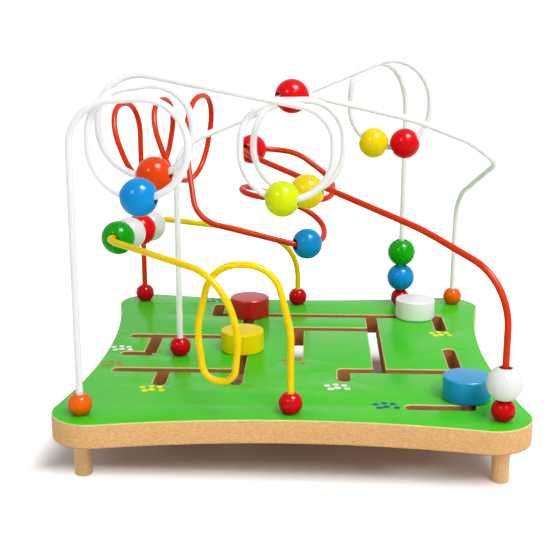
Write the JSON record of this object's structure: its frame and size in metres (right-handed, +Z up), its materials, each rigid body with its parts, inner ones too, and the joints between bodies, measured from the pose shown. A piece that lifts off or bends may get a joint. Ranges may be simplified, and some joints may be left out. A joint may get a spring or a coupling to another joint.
{
  "type": "bead maze",
  "caption": "Play board with curved-in sides on short legs, with bent wires that carry loose sliding beads, and knobs that slide in slots cut through the board.",
  "frame": {"origin": "on the floor, under the middle of the board", "axes": "+X to the right, +Y to the back, +Z up, seen from the side that faces the child"},
  "size_m": [0.345, 0.3474, 0.293],
  "materials": {
    "painted_board": "satin paint on fibreboard",
    "bare_wood": "clear lacquer",
    "white_wire": "gloss coating",
    "red_wire": "gloss coating",
    "yellow_wire": "gloss coating",
    "red_paint": "gloss paint",
    "orange_paint": "gloss paint",
    "yellow_paint": "gloss paint",
    "lime_paint": "gloss paint",
    "green_paint": "gloss paint",
    "blue_paint": "gloss paint",
    "white_paint": "gloss paint",
    "screw_steel": "zinc plated"
  },
  "bodies": {
    "stand": {"board": "painted_board", "wire_white_coils": "white_wire", "wire_white_loop": "white_wire", "wire_red": "red_wire", "wire_yellow": "yellow_wire", "leg_front_left": "bare_wood", "leg_front_right": "bare_wood", "leg_back_left": "bare_wood", "leg_back_right": "bare_wood", "foot_bead_front_left": "orange_paint", "foot_bead_back_right": "orange_paint", "foot_bead_left": "red_paint", "foot_bead_back": "red_paint", "foot_bead_front_right": "red_paint", "foot_bead_back_left": "red_paint", "foot_bead_front_middle": "red_paint", "foot_bead_back_middle": "red_paint"},
    "blue_left_bead": {"bead_blue_left": "blue_paint"},
    "orange_left_bead": {"bead_orange_left": "orange_paint"},
    "lime_middle_bead": {"bead_lime_middle": "lime_paint"},
    "yellow_middle_bead": {"bead_yellow_middle": "yellow_paint"},
    "red_top_bead": {"bead_red_top": "red_paint"},
    "red_right_bead": {"bead_red_right": "red_paint"},
    "yellow_right_bead": {"bead_yellow_right": "yellow_paint"},
    "blue_back_bead": {"bead_blue_back": "blue_paint"},
    "green_back_bead": {"bead_green_back": "green_paint"},
    "white_right_bead": {"bead_white_right": "white_paint"},
    "red_coil_bead": {"bead_red_coil": "red_paint"},
    "blue_coil_bead": {"bead_blue_coil": "blue_paint"},
    "green_side_bead": {"bead_green_side": "green_paint"},
    "white_side_front_bead": {"bead_white_side_front": "white_paint"},
    "red_side_bead": {"bead_red_side": "red_paint"},
    "white_side_back_bead": {"bead_white_side_back": "white_paint"},
    "red_slider": {"knob_red": "red_paint", "peg_red": "bare_wood", "keeper_red": "bare_wood", "screw_red": "screw_steel"},
    "yellow_slider": {"knob_yellow": "yellow_paint", "peg_yellow": "bare_wood", "keeper_yellow": "bare_wood", "screw_yellow": "screw_steel"},
    "white_slider": {"knob_white": "white_paint", "peg_white": "bare_wood", "keeper_white": "bare_wood", "screw_white": "screw_steel"},
    "blue_slider": {"knob_blue": "blue_paint", "peg_blue": "bare_wood", "keeper_blue": "bare_wood", "screw_blue": "screw_steel"}
  },
  "joints": [
    {"name": "blue_left_bead_swing", "type": "hinge", "parent": "stand", "child": "blue_left_bead", "pos_m": [-0.10108, -0.16292, 0.2455], "axis": [0.1392, 0.9903, 0], "range_deg": [-45, 45]},
    {"name": "orange_left_bead_swing", "type": "hinge", "parent": "stand", "child": "orange_left_bead", "pos_m": [-0.10212, -0.12211, 0.2535], "axis": [0.1392, 0.9903, 0], "range_deg": [-35, 55]},
    {"name": "lime_middle_bead_swing", "type": "hinge", "parent": "stand", "child": "lime_middle_bead", "pos_m": [-0.00483, -0.10016, 0.2335], "axis": [0.1392, 0.9903, 0], "range_deg": [-50, 40]},
    {"name": "yellow_middle_bead_swing", "type": "hinge", "parent": "stand", "child": "yellow_middle_bead", "pos_m": [0.00311, -0.06791, 0.233], "axis": [0.1392, 0.9903, 0], "range_deg": [-33, 57]},
    {"name": "red_top_bead_swing", "type": "hinge", "parent": "stand", "child": "red_top_bead", "pos_m": [0.00079, -0.0443, 0.23412], "axis": [-0.5158, 0.8567, 0], "range_deg": [-50, 0]},
    {"name": "red_right_bead_swing", "type": "hinge", "parent": "stand", "child": "red_right_bead", "pos_m": [0.07935, 0.06894, 0.2495], "axis": [0.1045, 0.9945, 0], "range_deg": [-35, 0]},
    {"name": "yellow_right_bead_swing", "type": "hinge", "parent": "stand", "child": "yellow_right_bead", "pos_m": [0.07935, 0.06894, 0.2495], "axis": [0.1045, 0.9945, 0], "range_deg": [0, 35]},
    {"name": "blue_back_bead_slide", "type": "slide", "parent": "stand", "child": "blue_back_bead", "axis": [0, 0, 1], "range_m": [0, 0.06]},
    {"name": "green_back_bead_slide", "type": "slide", "parent": "blue_back_bead", "child": "green_back_bead", "axis": [0, 0, 1], "range_m": [0, 0.07]},
    {"name": "white_right_bead_slide", "type": "slide", "parent": "stand", "child": "white_right_bead", "axis": [0, 0, 1], "range_m": [0, 0.02]},
    {"name": "red_coil_bead_swing", "type": "hinge", "parent": "stand", "child": "red_coil_bead", "pos_m": [-0.01896, 0.07964, 0.2076], "axis": [-0.101, -0.0096, -0.9948], "range_deg": [0, 45]},
    {"name": "blue_coil_bead_swing", "type": "hinge", "parent": "stand", "child": "blue_coil_bead", "pos_m": [-0.00239, 0.06062, 0.14483], "axis": [-0.1929, 0.2995, -0.9344], "range_deg": [-30, 4]},
    {"name": "green_side_bead_slide", "type": "slide", "parent": "stand", "child": "green_side_bead", "axis": [0.1689, 0.982, -0.0844], "range_m": [0, 0.0035]},
    {"name": "white_side_front_bead_slide", "type": "slide", "parent": "green_side_bead", "child": "white_side_front_bead", "axis": [0.1689, 0.982, -0.0844], "range_m": [0, 0.0035]},
    {"name": "red_side_bead_slide", "type": "slide", "parent": "white_side_front_bead", "child": "red_side_bead", "axis": [0.1689, 0.982, -0.0844], "range_m": [0, 0.0035]},
    {"name": "white_side_back_bead_slide", "type": "slide", "parent": "red_side_bead", "child": "white_side_back_bead", "axis": [0.1689, 0.982, -0.0844], "range_m": [0, 0.0035]},
    {"name": "red_slider_slide", "type": "slide", "parent": "stand", "child": "red_slider", "axis": [0, -1, 0], "range_m": [0, 0.053]},
    {"name": "yellow_slider_slide", "type": "slide", "parent": "stand", "child": "yellow_slider", "axis": [0, 1, 0], "range_m": [-0.08, 0.01]},
    {"name": "white_slider_slide", "type": "slide", "parent": "stand", "child": "white_slider", "axis": [1, 0, 0], "range_m": [-0.115, 0.018]},
    {"name": "blue_slider_slide", "type": "slide", "parent": "stand", "child": "blue_slider", "axis": [0, 1, 0], "range_m": [-0.02, 0.11]}
  ]
}
